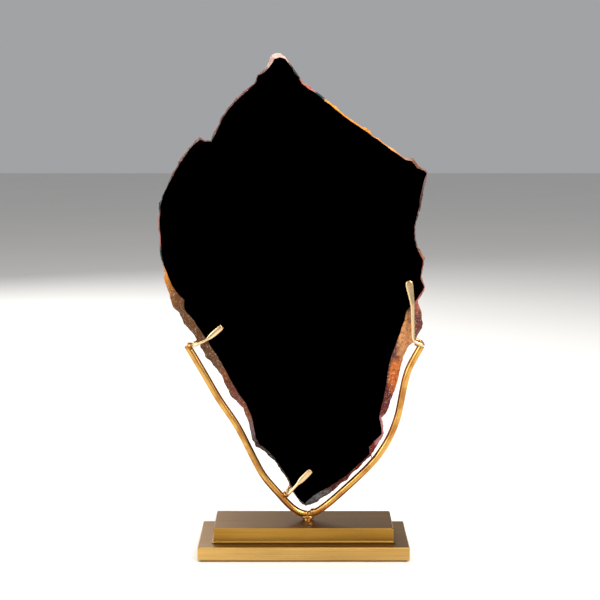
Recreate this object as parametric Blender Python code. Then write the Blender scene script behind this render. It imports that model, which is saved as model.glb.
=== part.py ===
"""A polished slab of banded jasper, held upright by a brass cradle on a stepped brass base.

Sizes are in millimetres. +Z is up, -Y is the front, and the origin is the centre of the underside.
"""

import math

import bmesh
import bpy
from mathutils import Vector, noise

MM = 0.001
GAP = 0.3            # clearance between touching pieces

# Base: a felt pad, a wide lower plate and a narrower upper plate
FELT_SIZE = (154.0, 68.0, 0.7)
LOWER_SIZE = (158.0, 72.0, 10.0)
UPPER_SIZE = (135.0, 49.0, 11.2)
PLATE_CHAMFER = 0.6
COVE = 1.4           # how far the upper plate flares out at its foot
COVE_LIP = 0.5       # height of the upright edge below the cove
COVE_STEPS = 4

# Cradle: a stem, two arms bent from rod, and three claws bent from wire
STEM_X = 3.0
STEM_RADIUS = 3.2
STEM_SOCKET_DEPTH = 7.0
ROUND_SIDES = 32
ARM_RADIUS = 2.85
ARM_SIDES = 12
APEX_Z = 26.9
WIRE_RADIUS = 1.4
WIRE_SIDES = 12
BEND_RADIUS = 2.6
BEND_STEPS = 4
MIN_IN_PLANE = 0.3   # below this share of its heading in the slab's plane, a rod keeps its last sides
ARM_STEPS = 3        # stretches between two points of an arm
FINGER_DEPTH = 0.75  # from the stone's face to the middle of a flattened fingertip
LEFT_ARM = [
    (-87.9, 157.8), (-76.1, 137.8), (-64.2, 116.4), (-50.4, 95.8), (-40.7, 76.2), (-31.0, 57.5),
    (-19.5, 43.6), (-10.2, 33.2), (-3.6, 28.4), (0.8, APEX_Z), (1.8, APEX_Z),
    (STEM_X - GAP / 2, APEX_Z),
]
RIGHT_ARM = [
    (STEM_X + GAP / 2, APEX_Z), (4.2, APEX_Z), (5.2, APEX_Z), (10.0, 28.9), (20.0, 36.0),
    (38.5, 53.0), (51.5, 66.0), (59.5, 76.5), (65.5, 87.0), (69.5, 97.0), (72.5, 107.5),
    (76.5, 129.5), (80.5, 142.0), (88.8, 157.3),
]

# Each finger runs from its tip on the face to the bar that crosses the slab's edge: x and z
LEFT_FINGER = [(-61.0, 173.0), (-72.5, 163.2), (-82.8, 158.4)]
RIGHT_FINGER = [(78.3, 207.4), (81.0, 191.0), (81.7, 164.5), (83.5, 161.2), (89.6, 158.9)]
LOWER_FINGER = [(5.6, 62.8), (-4.0, 53.2), (-12.2, 44.0)]

# Flattened fingertips: distance from the tip, half width and half thickness
SQUARE_TIP = [(0.0, 1.6, 0.35), (0.8, 2.3, 0.6), (10.0, 2.4, 0.7), (15.0, 1.3, 1.2), (18.0, 1.4, 1.4)]
SPOON_TIP = [(0.0, 1.3, 0.3), (0.8, 2.5, 0.5), (2.6, 3.2, 0.6), (10.0, 2.4, 0.7), (22.0, 1.4, 1.3)]

# Slab: flat polished faces with a broken rim between them
SLAB_THICKNESS = 14.0
FACE_SETBACK = 1.3   # how far the polished face stays inside the rim where no row says otherwise
BACK_SETBACK = 1.8
RIM_STEP = 4.6       # longest side of a rim facet along the outline
RIM_ROUGHNESS = 0.75
FACE_ROUGHNESS = 0.4 # share of the rim's roughness left at the edges of the flat faces
CHIP_SIZE = 7.0
GRAIN_SIZE = 2.7
RING_WANDER = 0.7    # how far a ring strays across the rim, as a share of its room
NOISE_SEED = Vector((3.7, 11.3, 5.1))

# Across the thickness: part of the way from front to back, and part of the way in to that face's edge
RIM_RINGS = [(0.0, 1.0), (0.07, 0.86), (0.22, 0.5), (0.38, 0.18), (0.55, 0.0), (0.75, 0.2), (1.0, 1.0)]

# Places round the rim, from the peak down the left side and up the right: x and z of the rim,
# and where the broken rim slopes back, x and z of the polished face's edge as well
RIM = [
    (-17.0, 376.0, -17.5, 372.6), (-23.5, 374.0, -21.8, 371.0), (-26.0, 368.5, -24.0, 367.0),
    (-29.5, 363.0), (-34.5, 360.0), (-36.5, 355.5), (-41.0, 350.0), (-50.0, 342.5), (-56.5, 335.5),
    (-61.5, 328.0), (-64.5, 320.5), (-69.0, 312.0), (-73.5, 312.3), (-77.0, 314.0), (-83.5, 309.0),
    (-92.5, 296.0), (-101.5, 280.5), (-104.5, 274.5), (-107.5, 265.0), (-109.0, 253.5),
    (-107.5, 228.5), (-106.5, 218.0, -104.5, 219.0), (-105.0, 208.5, -101.5, 211.0),
    (-103.0, 200.5, -98.5, 203.5), (-100.0, 192.0, -94.5, 197.5), (-98.0, 186.5, -89.5, 193.0),
    (-95.0, 181.5, -89.8, 186.0), (-87.5, 170.5, -83.0, 177.5), (-82.3, 163.3, -77.5, 169.5),
    (-78.6, 157.8, -73.0, 163.0), (-76.5, 152.7, -70.0, 157.5), (-71.5, 145.0, -65.0, 150.5),
    (-64.0, 135.5, -60.5, 142.0), (-58.5, 125.5, -56.0, 133.0), (-56.5, 119.5, -52.0, 126.0),
    (-46.5, 108.5, -44.0, 113.5), (-43.0, 100.5, -40.0, 104.5), (-41.5, 92.0, -38.0, 95.0),
    (-39.0, 84.5, -36.5, 87.5), (-36.5, 79.0, -33.0, 82.0), (-29.5, 75.5, -27.5, 77.8),
    (-25.0, 71.0, -23.0, 72.5), (-13.5, 55.5, -12.0, 57.0), (-11.0, 50.0, -9.8, 50.8),
    (-8.5, 43.0, -7.0, 44.2), (-4.0, 36.5, -2.5, 38.5), (1.5, 31.8, 1.0, 35.5), (5.5, 32.4, 3.5, 38.5),
    (11.0, 35.4, 8.0, 42.5), (23.2, 44.6, 19.0, 49.0), (35.5, 56.3, 32.5, 58.0),
    (48.2, 69.2, 46.0, 70.5), (52.5, 74.2, 50.8, 75.5), (56.3, 79.7, 50.3, 80.5),
    (59.4, 84.8, 54.0, 85.0), (61.8, 90.3, 60.0, 90.5), (61.5, 95.5, 59.5, 96.0),
    (60.0, 101.5, 57.8, 103.5), (63.5, 106.0, 58.5, 109.5), (68.0, 117.0, 61.0, 119.0),
    (71.5, 131.0, 63.0, 132.0), (75.5, 145.5, 64.8, 145.0), (77.5, 152.5, 66.5, 151.5),
    (81.0, 157.0, 69.0, 157.5), (84.5, 160.3, 71.0, 162.5), (87.0, 164.0, 73.0, 168.5),
    (89.5, 170.5, 75.0, 175.5), (90.0, 181.0, 77.5, 184.5), (87.0, 189.0, 81.5, 189.5),
    (86.8, 192.0, 84.8, 192.5), (92.0, 202.5), (89.0, 209.5), (90.8, 223.5), (85.5, 233.0),
    (83.8, 240.0), (83.8, 248.0), (87.5, 263.0), (89.0, 274.5), (92.5, 287.5), (91.0, 289.5),
    (85.0, 293.0), (81.0, 298.0), (76.0, 299.0), (62.5, 308.5), (49.0, 318.0), (30.0, 331.0),
    (13.5, 344.5), (4.5, 351.0), (0.0, 354.0), (-2.5, 358.5), (-12.5, 372.3),
]


def clear_scene():
    """Remove whatever the file starts with."""
    for thing in list(bpy.data.objects):
        bpy.data.objects.remove(thing, do_unlink=True)


def make_material(name, colour, roughness, metallic):
    """A plain Principled material."""
    material = bpy.data.materials.new(name)
    material.use_nodes = True
    shader = material.node_tree.nodes["Principled BSDF"]
    shader.inputs["Base Color"].default_value = (*colour, 1.0)
    shader.inputs["Roughness"].default_value = roughness
    shader.inputs["Metallic"].default_value = metallic
    return material


def add_object(name, bm, material, smooth_angle=None):
    """Turn a bmesh in millimetres into a named object in metres."""
    bmesh.ops.recalc_face_normals(bm, faces=bm.faces)
    bmesh.ops.scale(bm, vec=(MM, MM, MM), verts=bm.verts)
    mesh = bpy.data.meshes.new(name)
    bm.to_mesh(mesh)
    bm.free()
    mesh.materials.append(material)
    if smooth_angle is not None:
        mesh.shade_smooth()
        mesh.set_sharp_from_angle(angle=math.radians(smooth_angle))
    piece = bpy.data.objects.new(name, mesh)
    bpy.context.scene.collection.objects.link(piece)
    return piece


def loft(rings):
    """A closed body through rings of equally many points, with a flat cap at each end."""
    bm = bmesh.new()
    rows = [[bm.verts.new(point) for point in ring] for ring in rings]
    for row, next_row in zip(rows, rows[1:]):
        for i in range(len(row)):
            j = (i + 1) % len(row)
            bm.faces.new((row[i], row[j], next_row[j], next_row[i]))
    bm.faces.new(rows[0])
    bm.faces.new(rows[-1])
    return bm


def box(size, bottom):
    """A plain block that stands on the height given as bottom."""
    bm = bmesh.new()
    bmesh.ops.create_cube(bm, size=1.0)
    bmesh.ops.scale(bm, vec=size, verts=bm.verts)
    bmesh.ops.translate(bm, vec=(0.0, 0.0, bottom + size[2] / 2), verts=bm.verts)
    return bm


def add_bevel(piece, width):
    """A narrow chamfer on every sharp edge."""
    bevel = piece.modifiers.new("chamfer", "BEVEL")
    bevel.width = width * MM
    bevel.segments = 1
    bevel.limit_method = "ANGLE"
    bevel.angle_limit = math.radians(40)


def moulded_block(size, bottom, flare):
    """A block whose foot flares out in a small cove and whose other edges are chamfered."""
    sections = [(0.0, flare), (COVE_LIP, flare)]
    for step in range(1, COVE_STEPS + 1):
        turn = math.radians(90 * step / COVE_STEPS)
        sections.append((COVE_LIP + flare * (1 - math.cos(turn)), flare * (1 - math.sin(turn))))
    sections.append((size[2] - PLATE_CHAMFER, 0.0))
    sections.append((size[2], -PLATE_CHAMFER))
    rings = []
    for height, outset in sections:
        half_x = size[0] / 2 + outset
        half_y = size[1] / 2 + outset
        cut = PLATE_CHAMFER
        corners = []
        for sign_x, sign_y in ((1, -1), (1, 1), (-1, 1), (-1, -1)):
            pair = [(half_x - cut, half_y), (half_x, half_y - cut)]
            if sign_x != -sign_y:
                pair.reverse()
            corners += [(sign_x * x, sign_y * y, bottom + height) for x, y in pair]
        rings.append(corners)
    return loft(rings)


def cylinder(radius, bottom, top, x):
    """An upright cylinder at the given x."""
    bm = bmesh.new()
    bmesh.ops.create_cone(bm, cap_ends=True, segments=ROUND_SIDES, radius1=radius,
                          radius2=radius, depth=top - bottom)
    bmesh.ops.translate(bm, vec=(x, 0.0, (bottom + top) / 2), verts=bm.verts)
    return bm


def smooth_route(points, steps):
    """Points of a Catmull-Rom curve that passes through the given points."""
    ends = [points[0] * 2 - points[1]] + points + [points[-1] * 2 - points[-2]]
    route = []
    for before, start, end, after in zip(ends, ends[1:], ends[2:], ends[3:]):
        for step in range(steps):
            t = step / steps
            route.append(0.5 * (2 * start + (end - before) * t
                                + (2 * before - 5 * start + 4 * end - after) * t ** 2
                                + (3 * start - before - 3 * end + after) * t ** 3))
    route.append(points[-1])
    return route


def rounded_route(points, radius, steps):
    """The straight route through the points, with each corner rounded off."""
    route = [points[0]]
    for before, corner, after in zip(points, points[1:], points[2:]):
        start = corner + (before - corner).normalized() * min(radius, (before - corner).length / 2)
        end = corner + (after - corner).normalized() * min(radius, (after - corner).length / 2)
        for step in range(steps + 1):
            t = step / steps
            route.append(start * (1 - t) ** 2 + corner * 2 * t * (1 - t) + end * t ** 2)
    route.append(points[-1])
    return route


def tangents(route):
    """The direction of a route at each of its points."""
    last = len(route) - 1
    return [(route[min(i + 1, last)] - route[max(i - 1, 0)]).normalized() for i in range(last + 1)]


def rod_rings(route, widths, sides):
    """Oval rings along a route. Each width is a half width beside the slab and a half thickness."""
    rings = []
    across = None
    for centre, along, (half_width, half_thickness) in zip(route, tangents(route), widths):
        flat = Vector((along.x, 0.0, along.z))
        if flat.length > MIN_IN_PLANE or across is None:
            side = flat.cross(Vector((0.0, 1.0, 0.0))).normalized()
            if across is not None and side.dot(across) < 0:
                side.negate()
            across = side
        outward = along.cross(across).normalized()
        ring = []
        for i in range(sides):
            turn = math.tau * i / sides
            wide = across * half_width * math.cos(turn)
            thick = outward * half_thickness * math.sin(turn)
            ring.append(centre + wide + thick)
        rings.append(ring)
    return rings


def add_arm(name, outline, material):
    """One arm of the cradle, a bent rod in the plane of the slab."""
    route = smooth_route([Vector((x, 0.0, z)) for x, z in outline], ARM_STEPS)
    widths = [(ARM_RADIUS, ARM_RADIUS)] * len(route)
    return add_object(name, loft(rod_rings(route, widths, ARM_SIDES)), material, smooth_angle=40)


def tip_width(profile, distance):
    """Half width and half thickness of a finger at a distance from its tip."""
    for (start, width, thickness), (end, next_width, next_thickness) in zip(profile, profile[1:]):
        if distance <= end:
            part = (distance - start) / (end - start)
            return (width + (next_width - width) * part, thickness + (next_thickness - thickness) * part)
    return (WIRE_RADIUS, WIRE_RADIUS)


def claw_route(finger, profile):
    """From the front tip over the slab's edge to the back tip, with extra points near both tips."""
    face = SLAB_THICKNESS / 2 + GAP
    depths = [face + FINGER_DEPTH] + [face + WIRE_RADIUS] * (len(finger) - 1)
    front = [Vector((x, -depth, z)) for (x, z), depth in zip(finger, depths)]
    back = [Vector((point.x, -point.y, point.z)) for point in reversed(front)]
    corners = rounded_route(front + back, BEND_RADIUS, BEND_STEPS)
    heading = (front[1] - front[0]).normalized()
    stops = [front[0] + heading * distance for distance, _, _ in profile[1:]
             if distance < (front[1] - front[0]).length - BEND_RADIUS]
    mirrored = [Vector((stop.x, -stop.y, stop.z)) for stop in reversed(stops)]
    return [corners[0]] + stops + corners[1:-1] + mirrored + [corners[-1]]


def add_claw(name, finger, profile, material):
    """A claw: a wire over the slab's edge whose two flattened fingers hold its faces."""
    route = claw_route(finger, profile)
    travelled = [0.0]
    for start, end in zip(route, route[1:]):
        travelled.append(travelled[-1] + (end - start).length)
    widths = [tip_width(profile, min(here, travelled[-1] - here)) for here in travelled]
    return add_object(name, loft(rod_rings(route, widths, WIRE_SIDES)), material, smooth_angle=50)


def outline_normals(points):
    """Inward directions round a closed outline that runs anticlockwise seen from the front."""
    count = len(points)
    normals = []
    for i in range(count):
        along = points[(i + 2) % count] - points[i - 2]
        normals.append(Vector((-along.y, along.x)).normalized())
    return normals


def rim_stations():
    """Rim points, polished edge points and inward directions, closely spaced round the slab."""
    rim = [Vector(row[:2]) for row in RIM]
    inward = outline_normals(rim)
    face = [Vector(row[2:]) if len(row) == 4 else point + normal * FACE_SETBACK
            for row, point, normal in zip(RIM, rim, inward)]
    rim_points = []
    face_points = []
    for i in range(len(rim)):
        j = (i + 1) % len(rim)
        parts = math.ceil((rim[j] - rim[i]).length / RIM_STEP)
        for part in range(parts):
            rim_points.append(rim[i].lerp(rim[j], part / parts))
            face_points.append(face[i].lerp(face[j], part / parts))
    return rim_points, face_points, outline_normals(rim_points)


def broken_offset(point):
    """How far the broken rim stands in or out at a point: chips, with a finer grain over them."""
    chips = noise.cell(point / CHIP_SIZE + NOISE_SEED)
    grain = noise.noise(point / GRAIN_SIZE - NOISE_SEED)
    return RIM_ROUGHNESS * (chips + grain)


def add_slab(name, material):
    """The slab, one solid: two flat faces and the broken rim that joins them."""
    rim_points, face_points, inward = rim_stations()
    rings = []
    for depth, inset in RIM_RINGS:
        y = (depth - 0.5) * SLAB_THICKNESS
        on_face = depth in (0.0, 1.0)
        ring = []
        for rim, face, normal in zip(rim_points, face_points, inward):
            edge = face if depth < 0.5 else rim + normal * BACK_SETBACK
            flat = rim.lerp(edge, inset)
            place = Vector((flat.x, y, flat.y))
            shift = broken_offset(place)
            if on_face:
                shift *= FACE_ROUGHNESS
            else:
                room = SLAB_THICKNESS * min(depth, 1.0 - depth)
                place.y += RING_WANDER * room * noise.noise(place / CHIP_SIZE - NOISE_SEED)
            place += Vector((normal.x, 0.0, normal.y)) * shift
            ring.append(place)
        rings.append(ring)
    return add_object(name, loft(rings), material)


def add_socket_cutter(bottom, top):
    """The cutter for the blind hole that the stem stands in."""
    cutter = add_object("socket_cutter", cylinder(STEM_RADIUS + GAP, bottom, top, STEM_X), None)
    cutter.hide_render = True
    cutter.display_type = "WIRE"
    return cutter


def build_base(brass, felt):
    """The felt pad and the two plates. Returns the height of the top."""
    add_object("felt_pad", box(FELT_SIZE, 0.0), felt)
    lower_bottom = FELT_SIZE[2] + GAP
    lower = add_object("base_lower", box(LOWER_SIZE, lower_bottom), brass)
    add_bevel(lower, PLATE_CHAMFER)
    upper_bottom = lower_bottom + LOWER_SIZE[2] + GAP
    upper = add_object("base_upper", moulded_block(UPPER_SIZE, upper_bottom, COVE), brass)
    top = upper_bottom + UPPER_SIZE[2]
    socket = upper.modifiers.new("stem_socket", "BOOLEAN")
    socket.operation = "DIFFERENCE"
    socket.object = add_socket_cutter(top - STEM_SOCKET_DEPTH - GAP, top + STEM_SOCKET_DEPTH)
    return top


def build_cradle(base_top, brass):
    """The stem, the two arms and the three claws."""
    stem_top = APEX_Z - ARM_RADIUS - GAP
    stem = cylinder(STEM_RADIUS, base_top - STEM_SOCKET_DEPTH, stem_top, STEM_X)
    add_object("stem", stem, brass, smooth_angle=40)
    add_arm("left_arm", LEFT_ARM, brass)
    add_arm("right_arm", RIGHT_ARM, brass)
    add_claw("left_claw", LEFT_FINGER, SQUARE_TIP, brass)
    add_claw("right_claw", RIGHT_FINGER, SPOON_TIP, brass)
    add_claw("lower_claw", LOWER_FINGER, SQUARE_TIP, brass)


def main():
    clear_scene()
    brass = make_material("brass", (0.62, 0.42, 0.17), 0.35, 1.0)
    felt = make_material("felt", (0.02, 0.02, 0.022), 0.95, 0.0)
    jasper = make_material("jasper", (0.55, 0.27, 0.07), 0.15, 0.0)
    base_top = build_base(brass, felt)
    build_cradle(base_top, brass)
    add_slab("jasper_slab", jasper)


main()
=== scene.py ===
# %% [markdown]
# # A slab of banded jasper on a brass stand
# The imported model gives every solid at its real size. This lesson keeps those sizes and makes
# the looks around them: a broken rim and painted bands for the stone, and worn brass for the stand.

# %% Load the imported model
import math

import bmesh
import bpy
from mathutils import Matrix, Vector


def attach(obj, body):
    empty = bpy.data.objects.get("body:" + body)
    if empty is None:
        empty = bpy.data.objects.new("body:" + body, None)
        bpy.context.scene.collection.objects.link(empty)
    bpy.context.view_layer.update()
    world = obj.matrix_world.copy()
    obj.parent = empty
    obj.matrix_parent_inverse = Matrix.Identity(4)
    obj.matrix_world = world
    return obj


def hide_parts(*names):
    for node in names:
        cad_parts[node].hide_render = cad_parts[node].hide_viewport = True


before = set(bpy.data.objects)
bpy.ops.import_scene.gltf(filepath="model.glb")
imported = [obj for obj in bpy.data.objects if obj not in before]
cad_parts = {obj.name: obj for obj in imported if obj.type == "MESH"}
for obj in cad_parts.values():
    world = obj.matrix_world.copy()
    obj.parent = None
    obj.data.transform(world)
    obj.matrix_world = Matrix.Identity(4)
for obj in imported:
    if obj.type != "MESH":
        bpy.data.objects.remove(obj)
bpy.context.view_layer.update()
MM = 0.001
print("nodes:", sorted(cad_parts))

# %% [markdown]
# ## Camera and studio
# A long lens a good metre away keeps the slab's edges parallel. The light is a soft studio light:
# a large panel above and to the right, a weaker one on the left, two more above and behind, and
# a pale room all round.

# %% Camera
scene = bpy.context.scene
scene.view_settings.view_transform = "Standard"
CAMERA_PLACE = (-0.0027, -1.117, 0.3405)
CAMERA_DIP = 7.57
lens = bpy.data.cameras.new("camera")
lens.lens = 90.0
lens.sensor_width = 36.0
camera = bpy.data.objects.new("camera", lens)
camera.location = CAMERA_PLACE
camera.rotation_euler = (math.radians(90.0 - CAMERA_DIP), 0.0, 0.0)
scene.collection.objects.link(camera)
scene.camera = camera


# %% Lights
def add_panel(name, place, target, size, power, colour=(1.0, 1.0, 1.0)):
    """A square soft light that looks at the target."""
    light = bpy.data.lights.new(name, "AREA")
    light.size = size
    light.energy = power
    light.color = colour
    panel = bpy.data.objects.new(name, light)
    panel.location = place
    panel.rotation_euler = (Vector(target) - Vector(place)).to_track_quat("-Z", "Y").to_euler()
    scene.collection.objects.link(panel)


MIDDLE = (0.0, 0.0, 0.18)
add_panel("key", (0.9, -1.0, 1.25), MIDDLE, 0.9, 34.0, (1.0, 0.97, 0.93))
add_panel("fill", (-1.1, -1.2, 0.7), MIDDLE, 1.0, 13.0)
add_panel("top", (-0.1, 0.25, 1.4), MIDDLE, 0.8, 13.0)
add_panel("back", (-0.6, 1.3, 0.9), MIDDLE, 0.9, 12.0)

world = bpy.data.worlds.new("studio")
world.use_nodes = True
ROOM_LIGHT = 0.42
world.node_tree.nodes["Background"].inputs["Color"].default_value = (0.86, 0.87, 0.90, 1.0)
world.node_tree.nodes["Background"].inputs["Strength"].default_value = ROOM_LIGHT
scene.world = world


# %% [markdown]
# ## Helpers for modelling
# An operator works on what is selected, so each step first clears the selection. Faces and edges
# are picked in code by their place or direction, as one would pick them by hand.

# %% Selection and edit mode
def work_on(piece):
    """Select one object and nothing else."""
    if bpy.context.object and bpy.context.object.mode != "OBJECT":
        bpy.ops.object.mode_set(mode="OBJECT")
    for other in list(bpy.context.selected_objects):
        other.select_set(False)
    piece.select_set(True)
    bpy.context.view_layer.objects.active = piece


def pick(piece, kind, test):
    """In edit mode, select the faces, edges or verts that pass the test. Returns how many."""
    mesh = bmesh.from_edit_mesh(piece.data)
    bpy.ops.mesh.select_all(action="DESELECT")
    bpy.ops.mesh.select_mode(type={"faces": "FACE", "edges": "EDGE", "verts": "VERT"}[kind])
    mesh = bmesh.from_edit_mesh(piece.data)
    mesh.normal_update()
    chosen = [part for part in getattr(mesh, kind) if test(part)]
    for part in chosen:
        part.select_set(True)
    mesh.select_flush_mode()
    bmesh.update_edit_mesh(piece.data)
    return len(chosen)


def copy_node(node, name):
    """A merged copy of a CAD node, left in edit mode."""
    piece = bpy.data.objects.new(name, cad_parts[node].data.copy())
    piece.data.materials.clear()
    scene.collection.objects.link(piece)
    work_on(piece)
    bpy.ops.mesh.customdata_custom_splitnormals_clear()
    bpy.ops.object.mode_set(mode="EDIT")
    bpy.ops.mesh.select_all(action="SELECT")
    bpy.ops.mesh.remove_doubles(threshold=0.00002)
    bpy.ops.mesh.mark_sharp(clear=True)
    return piece


def apply_modifier(piece, kind, **settings):
    """Add a modifier, set it and apply it."""
    modifier = piece.modifiers.new(kind.lower(), kind)
    for name, value in settings.items():
        setattr(modifier, name, value)
    work_on(piece)
    bpy.ops.object.modifier_apply(modifier=modifier.name)


def hand_over(piece, slot, *nodes):
    """Attach a finished piece to the root body and hide the CAD nodes it stands for. Its finish, the slot
    argument, is not used.
    """
    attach(piece, "root")
    if nodes:
        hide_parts(*nodes)
    print(piece.name, len(piece.data.polygons), "faces")


# %% [markdown]
# ## The stone
# A saw leaves two flat faces, which are polished, and the rim between them stays as it broke.
# The rim's large facets come with the solid. Here its faces are divided and pushed in by two
# Displace modifiers, wide chips first and a fine grain after, so no point moves outwards.

# %% Slab with a chipped rim
FACE_Y = 7 * MM
ARRIS = 0.55 * MM
RIM_CUTS = 3
QUAD_ANGLE = math.radians(60)
stone = copy_node("jasper_slab", "jasper_stone")
FLAT = 0.999            # how squarely a face has to look along Y to count as polished


def on_face(face):
    """Whether a face lies in one of the two polished planes."""
    depth = abs(face.calc_center_median().y)
    return abs(face.normal.y) > FLAT and abs(depth - FACE_Y) < 0.05 * MM


def on_arris(edge):
    """Whether an edge parts a polished face from the rim."""
    sides = edge.link_faces
    return len(sides) == 2 and on_face(sides[0]) != on_face(sides[1])


print("face triangles:", pick(stone, "faces", on_face))
bpy.ops.mesh.dissolve_faces()
pick(stone, "faces", lambda face: not on_face(face))
bpy.ops.mesh.tris_convert_to_quads(face_threshold=QUAD_ANGLE, shape_threshold=QUAD_ANGLE)
print("arris edges:", pick(stone, "edges", on_arris))
bpy.ops.mesh.bevel(offset=ARRIS, segments=1, clamp_overlap=True)
pick(stone, "faces", lambda face: not on_face(face))
bpy.ops.mesh.subdivide(number_cuts=RIM_CUTS, quadcorner="INNERVERT")
bpy.ops.object.mode_set(mode="OBJECT")

FEWEST_FACE_POINTS = 50    # a polished face has more corners than this, and a rim facet never has
flat_points = set()
for face in stone.data.polygons:
    if abs(face.normal.y) > FLAT and len(face.vertices) > FEWEST_FACE_POINTS:
        flat_points.update(face.vertices)
rim = stone.vertex_groups.new(name="rim")
rim_points = [point.index for point in stone.data.vertices if point.index not in flat_points]
rim.add(rim_points, 1.0, "REPLACE")


def add_relief(name, kind, size, depth, **settings):
    """Push the rim inwards by a texture of the given size."""
    texture = bpy.data.textures.new(name, kind)
    texture.noise_scale = size
    for setting, value in settings.items():
        setattr(texture, setting, value)
    apply_modifier(stone, "DISPLACE", texture=texture, texture_coords="LOCAL", vertex_group="rim",
                   mid_level=1.0, strength=depth)


add_relief("chips", "VORONOI", 3.2 * MM, 0.7 * MM, distance_metric="DISTANCE")
add_relief("grain", "CLOUDS", 1.1 * MM, 0.45 * MM, noise_depth=2)
stone.vertex_groups.clear()
work_on(stone)
bpy.ops.object.shade_smooth_by_angle(angle=math.radians(32))

# %% [markdown]
# ## The cradle
# The arms and claws are bent from rod. Their solids have twelve sides, so copies get softened
# ends from a bevel and round sides from a Subdivision Surface. The fingertips stay hammered flat.

# %% Rods and wires
END_SOFTENING = {"left_arm": 1.5, "right_arm": 1.5, "left_claw": 0.3, "right_claw": 0.35, "lower_claw": 0.3}
ROD_SIDES = 12
STEM_CHAMFER = 0.3 * MM
rods = {}
for node, softening in END_SOFTENING.items():
    rod = copy_node(node, node + "_rod")
    bpy.ops.mesh.dissolve_limited(angle_limit=math.radians(0.5), delimit={"NORMAL"})
    pick(rod, "faces", lambda face: len(face.verts) < ROD_SIDES)
    bpy.ops.mesh.tris_convert_to_quads(face_threshold=math.radians(50), shape_threshold=math.radians(60))
    pick(rod, "edges", lambda edge: any(len(face.verts) >= ROD_SIDES for face in edge.link_faces))
    bpy.ops.mesh.bevel(offset=softening * MM, segments=3, clamp_overlap=True)
    bpy.ops.object.mode_set(mode="OBJECT")
    apply_modifier(rod, "SUBSURF", levels=1, render_levels=1)
    bpy.ops.object.shade_smooth()
    rods[node] = rod

stem = copy_node("stem", "stem_rod")
LEVEL = 0.9


def on_stem_end(edge):
    """Whether an edge runs round one of the stem's flat ends."""
    level = [abs(face.normal.z) > LEVEL for face in edge.link_faces]
    return any(level) and not all(level)


pick(stem, "edges", on_stem_end)
bpy.ops.mesh.bevel(offset=STEM_CHAMFER, segments=2)
bpy.ops.object.mode_set(mode="OBJECT")
work_on(stem)
bpy.ops.object.shade_smooth_by_angle(angle=math.radians(40))
rods["stem"] = stem

# %% [markdown]
# ## The brazed joints
# Where two rods meet, brass brazing metal has run round the joint and set as a soft lump. Each
# is a small ball that is stretched along the joint and made uneven, and it hides the seam.

# %% Braze lumps
LUMP_SIZE = 1.6 * MM
LUMP_DEPTH = 0.5 * MM
# name: place of the middle, half length, half width and half depth, turn about Y in degrees
BRAZES = {
    "braze_apex": ((3.0, 0.0, 24.6), (5.2, 2.6, 2.0), 0.0),
    "braze_seam": ((7.2, 0.0, 28.6), (2.6, 2.9, 2.7), -35.0),
    "braze_left": ((-84.5, 0.0, 158.0), (3.4, 2.4, 1.6), 20.0),
    "braze_right": ((86.6, 0.0, 158.6), (3.2, 2.4, 1.7), -8.0),
    "braze_lower": ((-13.6, 0.0, 42.2), (2.8, 3.0, 1.8), 40.0),
}
for name, (middle, size, turn) in BRAZES.items():
    bpy.ops.object.select_all(action="DESELECT")
    bpy.ops.mesh.primitive_uv_sphere_add(segments=28, ring_count=18, radius=MM,
                                         location=[value * MM for value in middle])
    lump = bpy.context.object
    lump.name = name
    bpy.ops.object.mode_set(mode="EDIT")
    bpy.ops.mesh.select_all(action="SELECT")
    bpy.ops.transform.resize(value=size)
    bpy.ops.object.mode_set(mode="OBJECT")
    lump.rotation_euler = (0.0, math.radians(turn), 0.0)
    bpy.ops.object.transform_apply(location=True, rotation=True, scale=True)
    uneven = bpy.data.textures.new(name, "CLOUDS")
    uneven.noise_scale = LUMP_SIZE
    apply_modifier(lump, "DISPLACE", texture=uneven, texture_coords="LOCAL", mid_level=0.5,
                   strength=LUMP_DEPTH)
    bpy.ops.object.shade_smooth()
    rods[name] = lump


# %% [markdown]
# ## A small language for materials
# A Signal is one output of a node, and sums and products of Signals add Math nodes. A Recipe
# holds one material. Its node method adds any other node: settings first, then the inputs.

# %% Signals and recipes
class Signal:
    """A value, colour or vector on its way through a material's nodes."""

    def __init__(self, recipe, socket):
        self.recipe = recipe
        self.socket = socket

    def other(self, output):
        """Another output of the same node."""
        return Signal(self.recipe, self.socket.node.outputs[output])

    def __add__(self, value):
        return self.recipe.math("ADD", self, value)

    def __sub__(self, value):
        return self.recipe.math("SUBTRACT", self, value)

    def __rsub__(self, value):
        return self.recipe.math("SUBTRACT", value, self)

    def __mul__(self, value):
        return self.recipe.math("MULTIPLY", self, value)

    __radd__ = __add__
    __rmul__ = __mul__


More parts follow.
